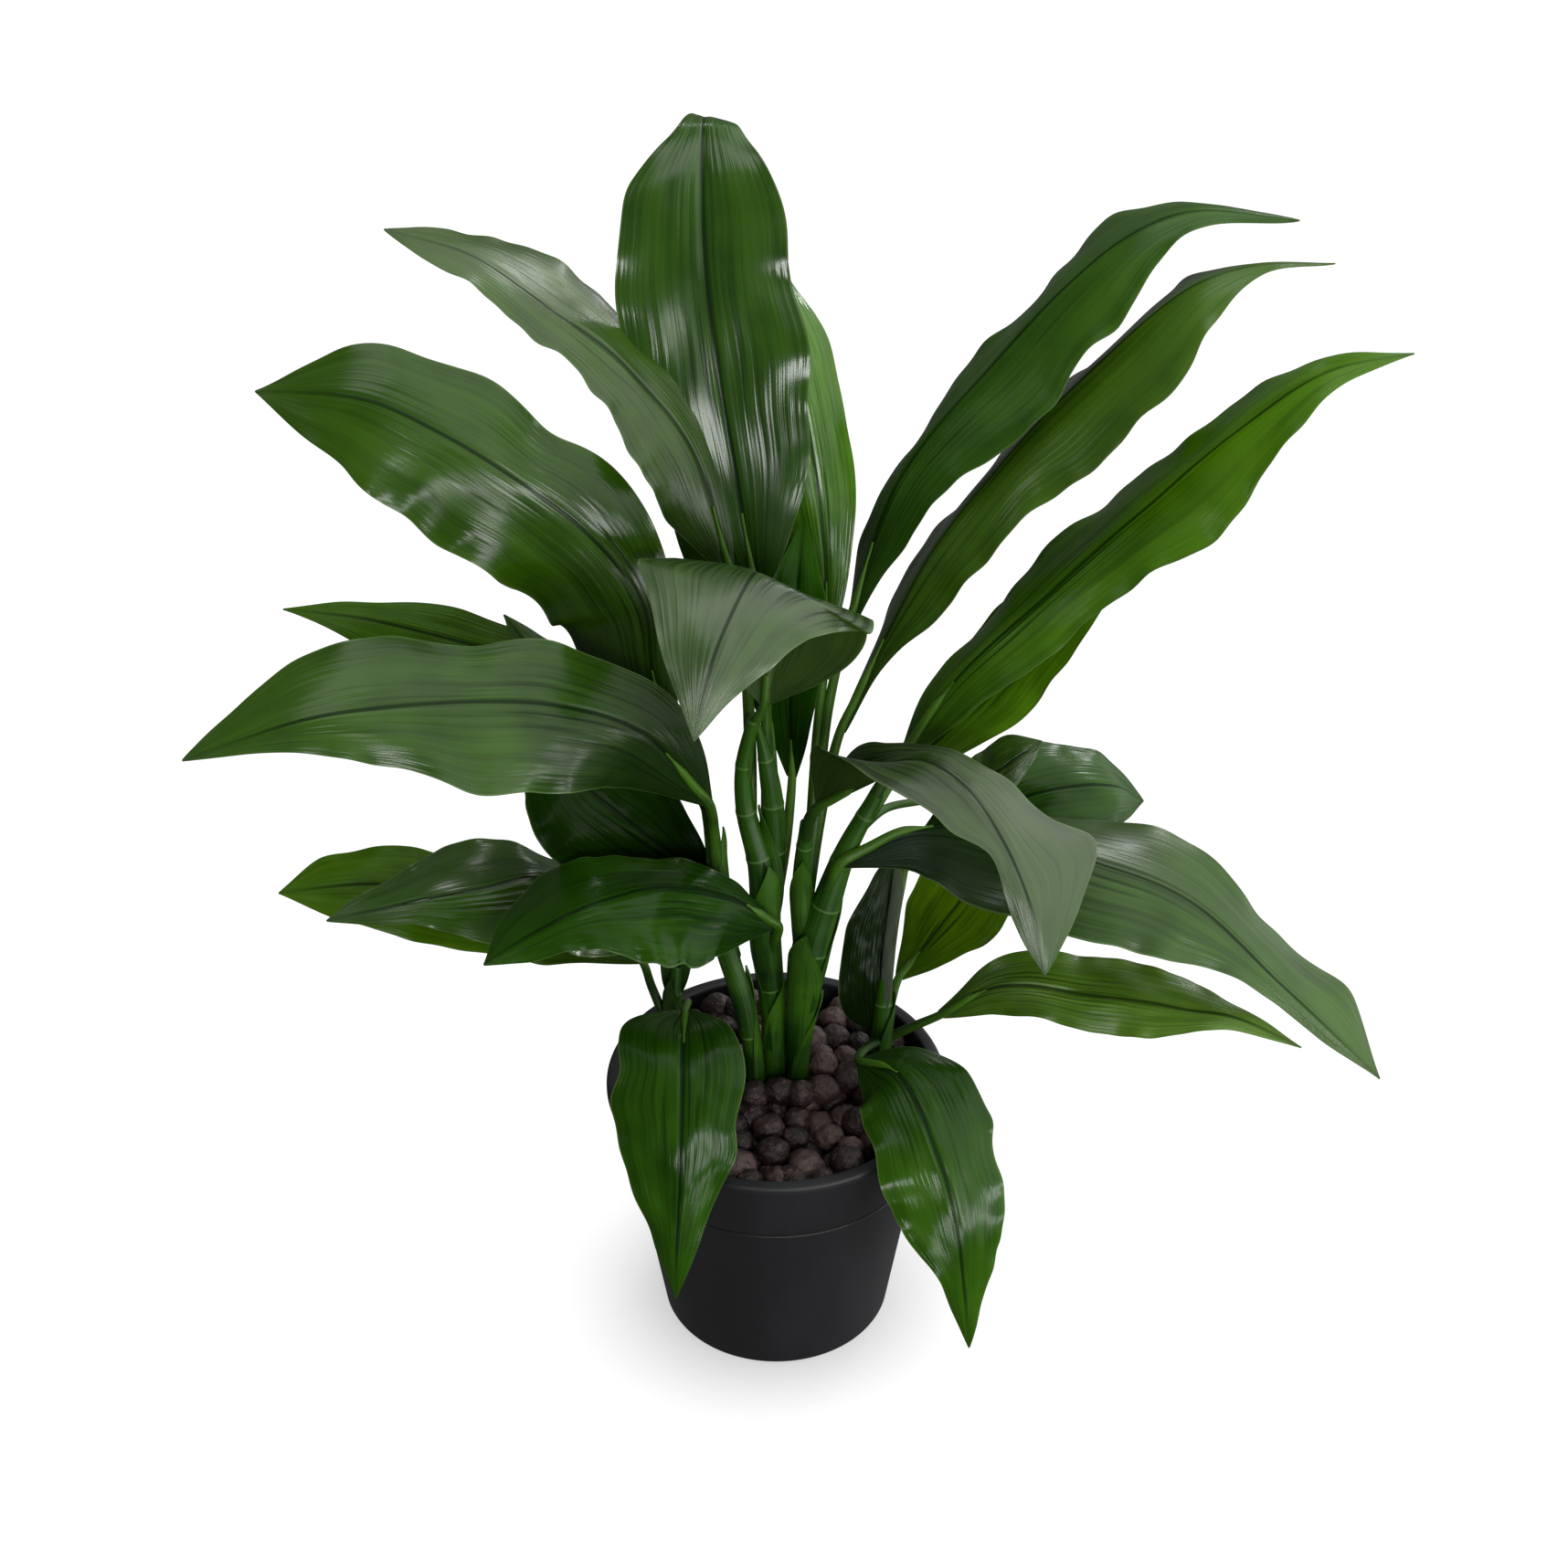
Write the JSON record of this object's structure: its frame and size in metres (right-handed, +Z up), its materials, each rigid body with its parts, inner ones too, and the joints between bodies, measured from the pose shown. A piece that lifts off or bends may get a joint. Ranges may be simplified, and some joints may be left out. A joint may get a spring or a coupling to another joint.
{
  "type": "potted dracaena",
  "caption": "Leafy potted dracaena with arching pointed leaves on slim canes, in a round black nursery pot topped with fired clay pebbles, free-standing on its flat base.",
  "frame": {"origin": "centre of the pot's flat underside", "axes": "+Z up along the pot's axis, -Y towards the side with the drooping front leaves, +X to the right seen from that side"},
  "size_m": [0.5558, 0.3457, 0.5964],
  "materials": {
    "black_pot_plastic": "satin",
    "growing_medium": "matte",
    "fired_clay": "matte",
    "left_shoot_leaf_green": "satin",
    "centre_shoot_leaf_green": "satin",
    "right_shoot_leaf_green": "satin",
    "young_left_shoot_leaf_green": "satin",
    "young_right_shoot_leaf_green": "satin"
  },
  "bodies": {
    "root": {"pot": "black_pot_plastic", "growing_medium": "growing_medium", "clay_pebbles": "fired_clay", "left_shoot": "left_shoot_leaf_green", "centre_shoot": "centre_shoot_leaf_green", "right_shoot": "right_shoot_leaf_green", "young_left_shoot": "young_left_shoot_leaf_green", "young_right_shoot": "young_right_shoot_leaf_green"}
  },
  "joints": []
}
